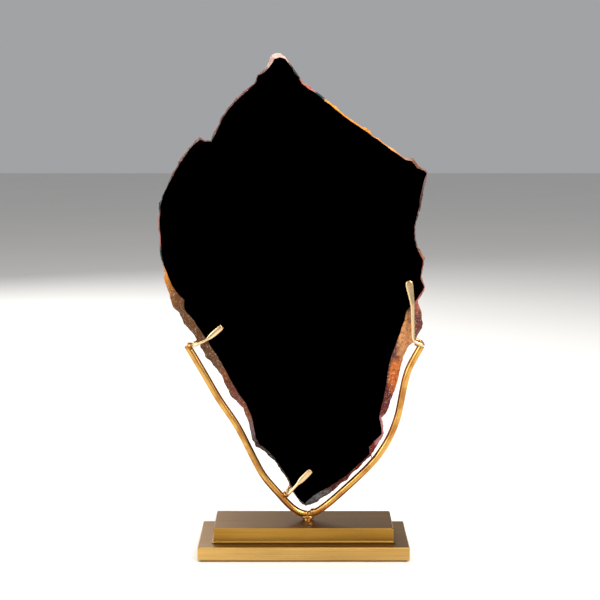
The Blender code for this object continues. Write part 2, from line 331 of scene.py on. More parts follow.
class Recipe:
    """The nodes of one material."""

    def __init__(self, name, constants):
        self.material = bpy.data.materials.new(name)
        self.material.use_nodes = True
        self.tree = self.material.node_tree
        self.shader = self.tree.nodes["Principled BSDF"]
        for socket, value in constants.items():
            self.shader.inputs[socket].default_value = value

    def node(self, kind, settings=None, inputs=None, output=0):
        """Add a node: its settings first, then a value or a link for each input."""
        node = self.tree.nodes.new("ShaderNode" + kind)
        for name, value in (settings or {}).items():
            if name == "stops":
                while len(node.color_ramp.elements) < len(value):
                    node.color_ramp.elements.new(0.5)
                for element, (position, colour) in zip(node.color_ramp.elements, value):
                    element.position = position
                    element.color = colour
            elif name == "path":
                curve = node.mapping.curves[0]
                while len(curve.points) < len(value):
                    curve.points.new(0.5, 0.5)
                for point, location in zip(curve.points, value):
                    point.location = location
                    point.handle_type = "AUTO_CLAMPED"
                node.mapping.update()
            else:
                setattr(node, name, value)
        for name, value in (inputs or {}).items():
            if isinstance(value, Signal):
                self.tree.links.new(value.socket, node.inputs[name])
            else:
                node.inputs[name].default_value = value
        return Signal(self, node.outputs[output])

    def math(self, operation, first, second=0.0):
        return self.node("Math", {"operation": operation}, {0: first, 1: second})

    def ramp(self, value, low, high, start=0.0, end=1.0):
        """A smooth step from start to end as the value goes from low to high."""
        return self.node("MapRange", {"interpolation_type": "SMOOTHSTEP"},
                         {0: value, 1: low, 2: high, 3: start, 4: end})

    def noise(self, place, scale, detail=3.0, output=0):
        """Noise whose lumps are about 1/scale in size."""
        return self.node("TexNoise", None, {"Vector": place, "Scale": scale, "Detail": detail}, output)

    def stretch(self, place, scale):
        """The place, scaled along each axis."""
        return self.node("VectorMath", {"operation": "MULTIPLY"}, {0: place, 1: scale})

    def blend(self, under, over, share, way="MIX"):
        """One colour over another."""
        return self.node("Mix", {"data_type": "RGBA", "blend_type": way}, {0: share, 6: under, 7: over}, 2)

    def finish(self, colour, roughness=None, height=None, depth=0.0002, strength=0.6):
        """Feed the shader."""
        self.tree.links.new(colour.socket, self.shader.inputs["Base Color"])
        if roughness is not None:
            self.tree.links.new(roughness.socket, self.shader.inputs["Roughness"])
        if height is not None:
            bump = self.node("Bump", None, {"Strength": strength, "Distance": depth, "Height": height})
            self.tree.links.new(bump.socket, self.shader.inputs["Normal"])
        print(self.material.name, len(self.tree.nodes), "nodes")
        return self.material


def tint(red, green, blue):
    """A colour as seen on a screen, 0 to 255, as the linear numbers that Blender uses."""
    def linear(value):
        value /= 255
        return value / 12.92 if value <= 0.04045 else ((value + 0.055) / 1.055) ** 2.4
    return (linear(red), linear(green), linear(blue), 1.0)


# %% [markdown]
# ## The stone's colours
# Iron gives jasper its golds and reds, and chlorite its greens. One small palette
# serves the whole slab: every band names its colours from it.

# %% Palette
C = {name: tint(*value) for name, value in {
    "gold": (236, 146, 8), "amber": (217, 131, 24), "sand": (203, 128, 46), "straw": (222, 154, 90),
    "cream peach": (232, 168, 112), "orange": (224, 120, 28), "burnt": (168, 74, 6), "tan": (190, 104, 24),
    "rust": (84, 36, 16), "brown": (122, 64, 28), "dark brown": (60, 28, 14), "olive gold": (168, 111, 12),
    "olive": (108, 72, 22), "dark olive": (66, 46, 14), "salmon": (168, 86, 66), "pink": (174, 100, 98),
    "pale pink": (182, 120, 126), "rose": (160, 104, 102), "mauve brown": (108, 56, 46),
    "lilac": (140, 120, 122), "lilac white": (212, 178, 164), "red orange": (156, 62, 38),
    "crimson": (74, 24, 28), "scarlet": (100, 13, 9), "dark red": (42, 7, 12), "purple": (34, 10, 19),
    "black": (15, 14, 15), "black teal": (12, 22, 22), "bottle green": (5, 30, 26), "teal": (15, 48, 44),
    "emerald": (12, 66, 52), "grey teal": (62, 76, 74), "ice": (112, 122, 128), "lime": (150, 138, 54),
    "yellow": (162, 126, 32), "cream": (200, 182, 140),
}.items()}

# %% [markdown]
# ## Fan coordinates
# The bands are the edges of old layers. They are straight, and all of them would meet at one
# point off the upper right. So the pattern is drawn in fan coordinates: the angle round
# that point, in degrees, and the reach from it, in millimetres. A noise shifts the places a
# little before anything is drawn, which gives every border its natural wander.
#
# A pattern is kept as rows, painted in their order. A band's row holds its colours, a list of
# stations (reach, left edge, right edge), and then its softness and strength if they differ from
# the usual. A dab's row holds its colours, angle, reach, half width in degrees, half length in
# millimetres, and then its strength and lean. Two colours with the name of a noise run together.

# %% Fan coordinates and the canvas
FAN_X, FAN_Z = 0.385, 0.719
FIRST_ANGLE, ANGLE_SPAN = 40.0, 24.0
FIRST_REACH, REACH_SPAN = 500.0, 300.0
MM_PER_DEGREE = 11.3
MIDDLE_ANGLE = 52.0

# Softness of edges, in degrees, and what else the painting methods share
BAND_SOFTNESS = 0.07
BAND_TAPER = 2.5         # mm past its last station in which a band comes to its point
EDGE_CROSSING = 0.2
DAB_SOFTNESS = 0.35      # as a share of a dab's size
VEIN_HALF_WIDTH = 0.55   # mm
VEIN_STRENGTH = 0.5
VEIN_FADE = 0.04
BROAD_WANDER = (2.0, 5.0, 0.0)   # mm of room along the arc, along the reach and in depth
FINE_WANDER = (0.9, 2.2, 0.0)


def angle_share(angle):
    return (angle - FIRST_ANGLE) / ANGLE_SPAN


def reach_share(reach):
    return (reach - FIRST_REACH) / REACH_SPAN


class Canvas:
    """The stone's pattern as it is painted, layer over layer."""

    def __init__(self, recipe):
        self.recipe = recipe
        place = recipe.node("TexCoord", output="Object")
        split = recipe.node("SeparateXYZ", None, {0: place})
        across = FAN_X - split
        down = FAN_Z - split.other("Z")
        angle = recipe.math("ARCTAN2", down, across) * math.degrees(1.0)
        reach = recipe.math("SQRT", across * across + down * down) * 1000.0
        arc = (angle - MIDDLE_ANGLE) * MM_PER_DEGREE
        self.straight = recipe.node("CombineXYZ", None, {0: arc, 1: reach, 2: split.other("Y") * 1000.0})
        broad = recipe.noise(recipe.stretch(self.straight, (1 / 7, 1 / 16, 1 / 7)), 1.0, 3.0, 1)
        fine = recipe.noise(self.straight, 1 / 2.0, 3.0, 1)
        self.spot = self.shift(self.shift(self.straight, broad, BROAD_WANDER), fine, FINE_WANDER)
        parts = recipe.node("SeparateXYZ", None, {0: self.spot})
        self.angle = parts * (1 / MM_PER_DEGREE / ANGLE_SPAN) + angle_share(MIDDLE_ANGLE)
        self.reach = parts.other("Y") * (1 / REACH_SPAN) + reach_share(0.0)
        self.grain = recipe.ramp(recipe.noise(self.straight, 1 / 1.3, 2.0), 0.38, 0.66)
        cloud = recipe.noise(recipe.stretch(self.straight, (1 / 5, 1 / 12, 1 / 5)), 1.0, 4.0)
        self.cloud = recipe.ramp(cloud, 0.35, 0.68)
        streak = recipe.noise(recipe.stretch(self.straight, (1 / 0.9, 1 / 22, 1.0)), 1.0, 3.0)
        self.streak = recipe.ramp(streak, 0.36, 0.68)
        self.colour = None

    def shift(self, place, noise, amount):
        """Move places by a noise, by up to half the amount either way."""
        centre = {"operation": "SUBTRACT"}
        centred = self.recipe.node("VectorMath", centre, {0: noise, 1: (0.5, 0.5, 0.5)})
        push = {"operation": "MULTIPLY_ADD"}
        return self.recipe.node("VectorMath", push, {0: centred, 1: amount, 2: place})

    def mixed(self, colours):
        """A palette colour, or two of them run together by one of the canvas's noises."""
        if isinstance(colours, str):
            return C[colours]
        first, second, noise = colours
        return self.recipe.blend(C[first], C[second], getattr(self, noise))

    def ground(self, stops):
        """The colours under everything, by angle alone."""
        stops = [(angle_share(angle), C[name]) for angle, name in stops]
        self.colour = self.recipe.node("ValToRGB", {"stops": stops}, {0: self.angle})

    def end_of(self, station, beyond):
        """A station past the end of a band, where its edges have crossed, so that it stops."""
        reach, left, right = station
        middle = (left + right) / 2
        return (reach + beyond, middle + EDGE_CROSSING, middle - EDGE_CROSSING)

    def band(self, colours, stations, soft=BAND_SOFTNESS, strength=1.0):
        """A band between two edges. Each station is a reach and the two edges' angles there."""
        rows = [self.end_of(stations[0], -BAND_TAPER)] + stations + [self.end_of(stations[-1], BAND_TAPER)]
        left = [(reach_share(reach), angle_share(edge)) for reach, edge, _ in rows]
        right = [(reach_share(reach), angle_share(edge)) for reach, _, edge in rows]
        past_left = self.angle - self.recipe.node("FloatCurve", {"path": left}, {"Value": self.reach})
        past_right = self.recipe.node("FloatCurve", {"path": right}, {"Value": self.reach}) - self.angle
        inside = self.recipe.math("MINIMUM", past_left, past_right)
        share = self.recipe.ramp(inside, -soft / ANGLE_SPAN, soft / ANGLE_SPAN, 0.0, strength)
        self.colour = self.recipe.blend(self.colour, self.mixed(colours), share)

    def dab(self, colours, angle, reach, half_angle, half_reach, strength=0.9, lean=0.0):
        """An oval dab at a place. Its lean, in degrees, turns its long axis off the band."""
        middle = ((angle - MIDDLE_ANGLE) * MM_PER_DEGREE, reach, 0.0)
        oval = self.recipe.node("Mapping", {"vector_type": "TEXTURE"}, {
            0: self.recipe.stretch(self.spot, (1.0, 1.0, 0.0)), 1: middle, 2: (0.0, 0.0, math.radians(lean)),
            3: (half_angle * MM_PER_DEGREE, half_reach, 1.0)})
        out = self.recipe.node("VectorMath", {"operation": "LENGTH"}, {0: oval}, 1)
        share = self.recipe.ramp(out, 1.0 + DAB_SOFTNESS, 1.0 - DAB_SOFTNESS, 0.0, strength)
        self.colour = self.recipe.blend(self.colour, self.mixed(colours), share)

    def paint(self, rows):
        """Paint rows in their order. A row whose second entry is a list is a band, others are dabs."""
        for row in rows:
            if isinstance(row[1], list):
                self.band(*row)
            else:
                self.dab(*row)

    def vein(self, points):
        """A healed crack that runs across the bands, through points of angle and reach."""
        path = [(angle_share(angle), reach_share(reach)) for angle, reach in points]
        height = self.recipe.node("FloatCurve", {"path": path}, {"Value": self.angle})
        off = self.recipe.math("ABSOLUTE", self.reach - height)
        line = self.recipe.ramp(off, 0.0, VEIN_HALF_WIDTH / REACH_SPAN, VEIN_STRENGTH, 0.0)
        ends = VEIN_FADE / ANGLE_SPAN
        begun = self.recipe.ramp(self.angle, path[0][0] - ends, path[0][0] + ends)
        over = self.recipe.ramp(self.angle, path[-1][0] - ends, path[-1][0] + ends, 1.0, 0.0)
        self.colour = self.recipe.blend(self.colour, C["lilac white"], line * begun * over)


# %% [markdown]
# ## Ground colours
# The first layer is a plain ramp over the angle: green on the left, gold in the middle, red and
# black on the right. It also colours the broken rim, because the bands go right through.

# %% Ground
GROUND = [(41.0, "rust"), (41.85, "rust"), (41.97, "bottle green"), (43.0, "bottle green"),
          (43.15, "salmon"), (44.15, "salmon"), (44.3, "pink"), (44.6, "pink"), (44.75, "teal"),
          (45.6, "teal"), (45.75, "straw"), (46.05, "gold"), (46.9, "gold"), (47.4, "amber"),
          (49.8, "amber"), (50.6, "sand"), (52.0, "straw"), (52.6, "orange"), (53.15, "brown"),
          (54.0, "mauve brown"), (55.2, "brown"), (56.0, "lilac"), (56.5, "crimson"), (57.3, "purple"),
          (58.1, "black teal"), (58.6, "olive"), (60.2, "black teal"), (61.0, "dark red"), (62.5, "scarlet")]

# %% [markdown]
# ## The left end
# Rust and bottle green lie at the left, and a speckled salmon band widens towards the bottom.
# A pink ribbon and a dark teal band with pale grains part it from the gold.

# %% Paint the left end
GREEN_EDGE = [(520, 41.9, 43.2), (533, 41.9, 43.3), (540, 41.93, 43.75), (548, 41.95, 44.0),
    (560, 41.95, 44.25), (575, 41.92, 44.3), (583, 41.9, 44.15), (587, 41.9, 43.4), (600, 41.95, 43.1),
    (615, 41.95, 42.95), (640, 41.9, 42.92), (655, 41.8, 43.05), (680, 41.8, 43.3)]
PINK_RIBBON = [(533, 44.0, 44.6), (540, 43.85, 44.5), (547, 44.0, 44.7), (553, 44.15, 44.85),
    (562, 44.35, 44.98), (568, 44.3, 45.08), (575, 44.27, 45.0), (583, 44.25, 44.62),
    (592, 44.25, 44.65), (605, 44.28, 44.57), (618, 44.35, 44.6), (630, 44.25, 44.5)]
TEAL_BAND = [(532, 44.7, 45.5), (537, 44.6, 45.8), (545, 44.75, 45.8), (552, 44.95, 45.77),
    (560, 45.05, 45.72), (567, 45.25, 45.7), (575, 45.1, 45.65), (585, 44.7, 45.55), (595, 44.7, 45.5),
    (605, 44.65, 45.4), (612, 44.72, 45.4), (624, 44.55, 45.3), (633, 44.7, 45.35)]
LOWER_TEAL = [(635, 44.75, 45.2), (638, 44.5, 45.5), (646, 44.9, 45.8), (651, 44.7, 46.0),
    (657, 44.75, 46.1), (661, 44.95, 46.12), (668, 44.97, 46.17), (673, 45.05, 46.3),
    (678, 45.35, 46.43), (684, 45.15, 46.47), (690, 45.35, 46.48), (697, 45.65, 46.48),
    (708, 46.1, 46.47)]

LEFT_END = [
    (("rust", "mauve brown", "grain"), [(520, 40.2, 41.85), (545, 40.2, 41.9)], 0.1),
    ("mauve brown", 41.3, 548, 0.25, 8, 0.6),
    ("red orange", 41.5, 566, 0.12, 5, 0.4),
    ("dark olive", 41.7, 600, 0.2, 16, 0.6),
    (("bottle green", "black teal", "cloud"), GREEN_EDGE, 0.08),
    ("black", [(531, 43.05, 43.6), (540, 43.4, 43.95), (548, 43.7, 44.1), (557, 43.95, 44.3)], 0.15),
    ("teal", 42.3, 541, 0.3, 6, 0.6),
    ("teal", 42.45, 555, 0.12, 5, 0.6),
    ("grey teal", 43.25, 552, 0.08, 1.6, 0.7),
    ("emerald", 42.5, 578, 0.14, 3.6, 0.9),
    ("teal", 42.75, 575, 0.2, 1.6, 0.5, -30),
    ("emerald", 42.3, 596, 0.1, 3.5, 0.45),
    ("grey teal", 42.08, 625, 0.05, 2.2, 0.8),
    ("black", 42.55, 625, 0.2, 12, 0.6),
    (("dark brown", "mauve brown", "grain"), [(557, 43.95, 44.25), (563, 43.72, 44.33),
        (575, 43.85, 44.3), (583, 44.05, 44.28)], 0.1),
    ("purple", 43.95, 567, 0.12, 2.4),
    (("salmon", "brown", "grain"), [(584, 43.45, 43.7), (588, 43.36, 44.0), (593, 43.28, 44.2),
        (601, 43.1, 44.25), (615, 42.95, 44.3), (622, 43.05, 44.35), (632, 43.05, 44.45),
        (640, 42.93, 44.8), (650, 43.1, 44.95), (660, 43.15, 45.0), (672, 43.25, 45.35),
        (690, 43.4, 45.4), (706, 44.0, 46.0)]),
    (("mauve brown", "salmon", "grain"), [(640, 43.0, 43.5), (660, 43.15, 43.7),
        (690, 43.3, 43.9)], 0.12),
    ("rose", 43.5, 586, 0.12, 2.6, 0.7),
    ("red orange", 43.75, 592, 0.18, 3.2, 0.7),
    ("pink", 43.15, 613, 0.1, 3.2, 0.7),
    ("straw", 43.62, 616, 0.05, 6, 0.5),
    ("red orange", 43.3, 625, 0.18, 4, 0.7),
    ("straw", 43.4, 637, 0.25, 2.6, 0.6),
    ("straw", [(642, 43.66, 43.8), (655, 43.68, 43.95), (670, 43.75, 44.08),
        (682, 43.95, 44.15)], 0.1, 0.75),
    ("dark brown", [(586, 44.08, 44.24), (600, 44.02, 44.24), (618, 44.03, 44.3),
        (628, 44.17, 44.25)], 0.04),
    ("brown", [(658, 44.16, 44.28), (666, 44.15, 44.33), (673, 44.2, 44.26)], 0.04),
    ("dark brown", [(652, 44.0, 44.06), (668, 44.1, 44.14)], 0.03, 0.5),
    (("pink", "salmon", "cloud"), PINK_RIBBON, 0.05),
    ("red orange", 44.35, 535, 0.25, 4, 0.7),
    ("pale pink", 44.45, 602, 0.12, 18, 0.7),
    (("pale pink", "pink", "grain"), [(629, 44.27, 44.6), (636, 44.35, 44.78), (641, 44.35, 44.7),
        (648, 44.4, 44.88), (653, 44.55, 44.75)]),
    ("red orange", 44.75, 662, 0.13, 4.5, 0.7),
    ("cream peach", 44.72, 670, 0.1, 3.4),
    ("pale pink", 45.12, 676, 0.22, 2.6, 0.9, -50),
    (("red orange", "burnt", "cloud"), [(677, 44.4, 44.9), (684, 44.2, 44.98), (692, 44.4, 45.2),
        (702, 45.1, 45.6)], 0.1),
    ("straw", 45.05, 684, 0.04, 5, 0.7),
]

TEAL_SIDE = [
    (("black teal", "teal", "cloud"), TEAL_BAND, 0.05),
    (("black teal", "teal", "cloud"), LOWER_TEAL, 0.05),
    (("brown", "red orange", "grain"), [(527, 45.3, 46.0), (533, 45.45, 46.02),
        (538, 45.75, 46.02)], 0.08),
    (("rust", "brown", "grain"), [(530, 44.6, 45.25), (536, 44.63, 44.95), (545, 44.7, 44.85),
        (553, 44.92, 45.04), (563, 45.02, 45.2), (570, 45.06, 45.33), (577, 44.95, 45.1)], 0.05),
    ("burnt", 45.2, 569, 0.1, 4.5, 0.8),
    ("olive", [(532, 44.95, 45.1), (545, 44.97, 45.08), (553, 45.05, 45.12)], 0.05, 0.8),
    ("purple", 45.37, 539, 0.16, 4.5),
    ("grey teal", 45.3, 561, 0.1, 4, 0.6),
    ("grey teal", 45.58, 567, 0.1, 4, 0.5),
    ("emerald", 45.3, 583, 0.2, 6, 0.5),
    ("ice", 44.72, 594, 0.08, 1.8),
    ("straw", 45.02, 594, 0.07, 3.2, 0.7),
    ("olive", 45.12, 588, 0.08, 3, 0.7),
    ("grey teal", 44.85, 608, 0.12, 5, 0.75),
    ("mauve brown", 45.0, 617, 0.3, 3.4, 0.7),
    (("brown", "olive", "grain"), [(618, 45.0, 45.4), (626, 44.92, 45.42), (634, 44.9, 45.4)], 0.08),
    ("black", [(620, 44.65, 44.74), (625, 44.58, 44.95), (631, 44.6, 44.78)], 0.05),
    ("teal", 45.55, 646, 0.22, 8, 0.9),
    ("black", 44.92, 653, 0.2, 4),
    (("mauve brown", "rose", "grain"), [(655, 45.1, 45.5), (661, 45.02, 45.82), (670, 45.05, 45.85),
        (677, 45.35, 45.85), (682, 45.55, 45.75)], 0.1),
    (("black", "dark olive", "grain"), [(653, 45.88, 46.08), (668, 45.82, 46.15),
        (682, 45.85, 46.2)], 0.06),
    ("cream", 46.2, 671, 0.1, 2.4, 0.7),
    ("olive", 46.25, 676, 0.14, 3, 0.8),
    ("grey teal", 45.75, 679, 0.16, 3, 0.7),
    ("purple", 46.0, 684, 0.18, 2.6),
    ("rose", 46.17, 688, 0.06, 4, 0.8),
    ("black", 45.55, 687, 0.15, 4),
    ("emerald", 45.9, 694, 0.1, 4, 0.6),
    (("lilac", "straw", "grain"), [(548, 45.78, 45.86), (565, 45.68, 45.87), (580, 45.6, 45.84),
        (596, 45.5, 45.74), (608, 45.38, 45.62), (617, 45.42, 45.55)], 0.06, 0.9),
    (("straw", "salmon", "cloud"), [(592, 45.68, 45.88), (606, 45.55, 45.85), (622, 45.38, 45.8),
        (634, 45.42, 45.8), (643, 45.68, 45.95), (650, 45.95, 46.15)], 0.08),
    (("red orange", "orange", "grain"), [(538, 45.84, 46.15), (550, 45.86, 46.1), (563, 45.88, 46.1),
        (577, 45.88, 45.98)], 0.07),
    ("orange", [(645, 45.98, 46.35), (655, 46.15, 46.5), (670, 46.28, 46.6), (688, 46.48, 46.66),
        (705, 46.5, 46.6)], 0.1),
]

# %% [markdown]
# ## The golden heart
# The gold is nearly plain on its left and grows streaky to the right, with peach clouds,
# olive shadows and a few brown lines. Its lower end fans out a little more than the bands do.

# %% Paint the gold
OLIVE_LINE = [(521, 52.0, 52.22), (530, 51.92, 52.2), (540, 51.75, 52.08), (548, 51.5, 51.85),
    (556, 51.35, 51.66), (570, 51.22, 51.52), (585, 51.15, 51.36), (598, 51.16, 51.25)]
PALE_HEART = [(600, 51.7, 52.2), (612, 51.45, 52.5), (625, 51.35, 52.58), (640, 51.32, 52.66),
    (650, 51.55, 52.76), (657, 52.3, 52.7)]

# Short streaks: angle, reach and half length, and the colour of the lower ones
UPPER_STREAKS = [(49.05, 625, 9), (49.7, 616, 6), (48.75, 632, 6), (50.1, 640, 9), (50.75, 632, 8)]
LOWER_STREAKS = [(50.65, 672, 16, "burnt"), (50.5, 667, 5, "burnt"), (49.6, 668, 12, "tan"),
    (51.3, 690, 18, "tan"), (50.2, 700, 16, "tan"), (48.0, 680, 6, "tan"), (47.25, 648, 9, "tan"),
    (46.8, 634, 5, "tan"), (47.35, 667, 2.5, "burnt"), (48.35, 684, 4, "burnt"), (47.5, 690, 14, "tan"),
    (50.95, 708, 12, "tan"), (47.8, 655, 4, "olive gold"), (49.0, 661, 5, "tan"), (49.9, 658, 6, "tan")]

GOLDEN_HEART = [
    (("amber", "straw", "streak"), [(522, 47.3, 52.5), (600, 47.6, 52.6), (655, 48.2, 52.8)], 0.5, 0.4),
    (("gold", "orange", "streak"), [(650, 46.7, 53.2), (700, 46.7, 53.4), (735, 47.0, 53.4)], 0.3, 0.6),
    ("olive gold", 46.15, 533, 0.2, 5, 0.6),
    ("tan", [(526, 46.75, 47.0), (540, 46.62, 46.82), (551, 46.65, 46.85), (575, 46.66, 46.86),
        (590, 46.68, 46.74)], 0.08, 0.75),
    ("burnt", [(549, 47.05, 47.18), (556, 46.98, 47.2), (561, 46.8, 46.98), (570, 46.77, 46.95),
        (578, 46.72, 46.8)], 0.05, 0.95),
    ("dark brown", 47.05, 556, 0.08, 2, 0.6),
    ("dark brown", 46.87, 564, 0.06, 3.6, 0.6),
    ("straw", [(533, 47.25, 47.6), (545, 47.3, 47.95), (556, 47.3, 47.75),
        (572, 47.35, 47.75)], 0.2, 0.9),
    ("orange", 48.3, 538, 0.2, 9, 0.6),
    ("gold", 48.6, 575, 0.5, 12, 0.6),
    ("tan", [(526, 49.65, 49.95), (545, 49.72, 49.98), (560, 49.85, 50.0),
        (580, 49.95, 50.04)], 0.07, 0.7),
    ("sand", 49.7, 569, 0.22, 8, 0.8),
    ("olive gold", OLIVE_LINE, 0.08, 0.85),
    ("olive", [(523, 52.06, 52.17), (538, 51.96, 52.06), (548, 51.68, 51.8), (556, 51.5, 51.6),
        (575, 51.4, 51.46)], 0.05, 0.6),
    ("cream peach", [(540, 52.1, 52.35), (550, 51.85, 52.12), (560, 51.67, 51.9), (575, 51.54, 51.7),
        (592, 51.4, 51.5)], 0.08, 0.7),
    ("olive gold", [(588, 49.15, 49.5), (594, 48.3, 49.55), (605, 48.05, 49.5), (615, 47.98, 49.35),
        (625, 48.1, 49.25), (634, 48.6, 49.1)], 0.2, 0.8),
    ("olive gold", 48.9, 610, 0.28, 12, 0.7),
    ("sand", 48.3, 602, 0.12, 8, 0.6),
    ("cream peach", [(589, 46.9, 47.3), (600, 46.85, 47.4), (612, 46.92, 47.45),
        (640, 47.1, 47.4)], 0.12, 0.8),
    ("straw", [(610, 47.4, 47.62), (625, 47.5, 47.82), (640, 47.7, 47.95),
        (647, 47.85, 48.0)], 0.1, 0.9),
    (("cream peach", "straw", "streak"), PALE_HEART, 0.15, 0.95),
    ("cream peach", 50.4, 622, 0.12, 20, 0.6),
    ("cream peach", 50.9, 612, 0.1, 16, 0.6),
    ("orange", 52.4, 590, 0.25, 14, 0.7),
    ("brown", [(603, 52.62, 52.7), (612, 52.68, 52.85), (621, 52.85, 53.05)], 0.05, 0.8),
    (("orange", "red orange", "cloud"), [(521, 52.65, 53.4), (535, 52.6, 53.35),
        (546, 52.7, 53.1)], 0.15),
    *(("tan", angle, reach, 0.05, length, 0.6, 4)
      for angle, reach, length in UPPER_STREAKS),
    *((colour, angle, reach, 0.09, length, 0.65, -9)
      for angle, reach, length, colour in LOWER_STREAKS),
    ("straw", 46.95, 692, 0.16, 7, 0.7),
    ("gold", 48.9, 694, 0.5, 14, 0.7),
    ("gold", 52.4, 705, 0.3, 26, 0.8, -4),
    ("tan", [(676, 51.55, 52.0), (690, 51.6, 52.15), (710, 51.6, 52.1),
        (726, 51.6, 51.95)], 0.12, 0.85),
    ("cream peach", 52.8, 684, 0.08, 6, 0.6),
    ("cream peach", 53.1, 709, 0.1, 4, 0.6),
    (("brown", "orange", "grain"), [(656, 52.9, 53.3), (662, 52.8, 53.5)], 0.08, 0.8),
    (("brown", "tan", "grain"), [(664, 52.2, 53.2), (669, 52.3, 53.2)], 0.1, 0.8),
]

# %% [markdown]
# ## Salmon, red and olive
# Right of the gold the iron turns red. Thin light lines keep the direction of the bands, and
# olive and yellow strips lie between salmon and lilac.

# %% Paint the red side
YELLOW_STRIP = [(578, 55.15, 55.5), (590, 55.05, 55.45), (600, 54.93, 55.2), (610, 54.72, 55.1),
    (620, 54.4, 54.97), (630, 54.2, 54.87), (640, 54.05, 54.77), (650, 54.0, 54.6)]
LILAC_STRIP = [(577, 55.9, 56.6), (586, 55.75, 56.57), (600, 55.75, 56.5), (615, 55.65, 56.42),
    (630, 55.72, 56.35), (645, 55.87, 56.3), (660, 55.97, 56.25), (667, 56.05, 56.2)]

RED_SIDE = [
    (("brown", "red orange", "grain"), [(521, 53.45, 54.2), (535, 53.35, 54.15), (546, 53.15, 54.2),
        (560, 53.0, 54.15), (575, 52.85, 53.75), (590, 52.8, 53.6), (600, 53.1, 53.5)], 0.12),
    ("red orange", 53.8, 527, 0.3, 6, 0.7),
    ("salmon", 53.2, 577, 0.2, 12, 0.6),
    (("lilac", "pink", "cloud"), [(593, 52.78, 53.15), (600, 52.72, 53.3), (608, 52.78, 53.3),
        (614, 52.95, 53.2)], 0.12),
    (("dark brown", "mauve brown", "grain"), [(521, 54.2, 54.95), (535, 54.15, 55.1),
        (550, 54.1, 54.98), (560, 54.1, 54.7), (570, 54.1, 54.45), (577, 54.1, 54.2)], 0.1),
    ("dark brown", [(528, 54.86, 55.1), (540, 54.8, 55.04), (553, 54.75, 54.92)], 0.06),
    ("brown", 54.6, 533, 0.2, 3, 0.7),
    ("black", 54.35, 567, 0.1, 4, 0.7, -10),
    ("rose", 54.5, 545, 0.15, 4, 0.45),
    ("cream peach", 54.45, 561.5, 0.08, 2.2, 0.7),
    (("brown", "rust", "grain"), [(521, 55.0, 55.9), (535, 55.1, 56.0), (552, 55.0, 55.95),
        (562, 55.1, 55.6)], 0.08),
    ("red orange", 55.3, 544, 0.22, 9, 0.7),
    (("salmon", "rose", "cloud"), [(566, 54.5, 55.15), (575, 54.15, 55.15), (586, 53.8, 55.05),
        (600, 53.4, 54.93), (612, 53.2, 54.75), (621, 53.6, 54.45), (640, 53.7, 54.05)], 0.12),
    ("rose", 53.65, 611, 0.32, 8, 0.7),
    ("orange", 55.15, 566, 0.12, 6, 0.45),
    ("cream peach", 54.55, 578, 0.05, 1.6, 0.7),
    (("olive", "salmon", "grain"), [(614, 53.9, 54.35), (630, 53.65, 54.2), (645, 53.55, 54.1)], 0.12),
    (("red orange", "burnt", "grain"), [(609, 52.78, 52.95), (618, 52.9, 53.3), (626, 53.1, 53.6),
        (634, 53.25, 53.5)], 0.1),
    (("salmon", "mauve brown", "cloud"), [(624, 52.85, 53.15), (640, 52.8, 53.3), (650, 52.9, 53.4),
        (656, 53.1, 53.4)], 0.1),
    ("straw", [(525, 53.9, 53.95), (550, 53.84, 53.89), (570, 53.71, 53.77), (590, 53.49, 53.55),
        (607, 53.35, 53.41)], 0.04, 0.7),
    (("olive", "tan", "grain"), [(626, 53.6, 54.05), (640, 53.45, 54.2), (655, 53.4, 54.7),
        (663, 53.6, 54.7)], 0.1),
    (("yellow", "olive gold", "cloud"), YELLOW_STRIP, 0.07),
    ("olive gold", 54.4, 652, 0.4, 9, 0.7),
    (("olive", "dark olive", "grain"), [(578, 55.5, 55.75), (590, 55.4, 55.72), (605, 55.2, 55.65),
        (620, 55.0, 55.55), (632, 54.92, 55.1), (645, 54.8, 55.0), (660, 54.75, 54.95)], 0.06),
    (("brown", "tan", "grain"), [(628, 55.35, 55.75), (642, 55.0, 55.8), (656, 55.1, 55.8),
        (663, 55.3, 55.7)], 0.08),
    ("grey teal", [(625, 55.05, 55.18), (636, 55.1, 55.35), (648, 55.3, 55.45)], 0.06, 0.9),
    (("lime", "yellow", "grain"), [(534, 56.25, 56.5), (541, 56.05, 56.85), (550, 56.0, 57.1),
        (557, 55.98, 57.1), (563, 56.05, 56.8)], 0.07),
    ("olive", [(535, 55.94, 56.06), (556, 55.92, 56.04)], 0.05),
    ("cream", 56.4, 539, 0.12, 3, 0.6),
    (("lilac", "olive", "grain"), [(559, 55.65, 56.55), (568, 55.58, 56.65),
        (578, 55.65, 56.62)], 0.08),
    ("cream", 55.95, 572, 0.11, 5),
    ("cream", 56.15, 562, 0.05, 5, 0.8),
    (("lilac", "rose", "cloud"), LILAC_STRIP, 0.07),
    ("salmon", 56.05, 650, 0.2, 14, 0.7),
    ("lilac white", 56.0, 584, 0.16, 4, 0.7),
    ("emerald", 56.25, 603, 0.07, 3.6, 0.7),
    ("ice", 56.2, 612, 0.06, 3.4, 0.7),
    ("teal", 55.45, 618, 0.08, 5, 0.7),
    ("lilac white", [(560, 56.66, 56.74), (580, 56.6, 56.68), (600, 56.48, 56.55),
        (621, 56.35, 56.41)], 0.04, 0.85),
]

# %% [markdown]
# ## The dark end
# The right and lower end is nearly black, with crimson columns, one teal block edged with
# pale quartz, pink bars and a patch of olive brown. White veins cross it.

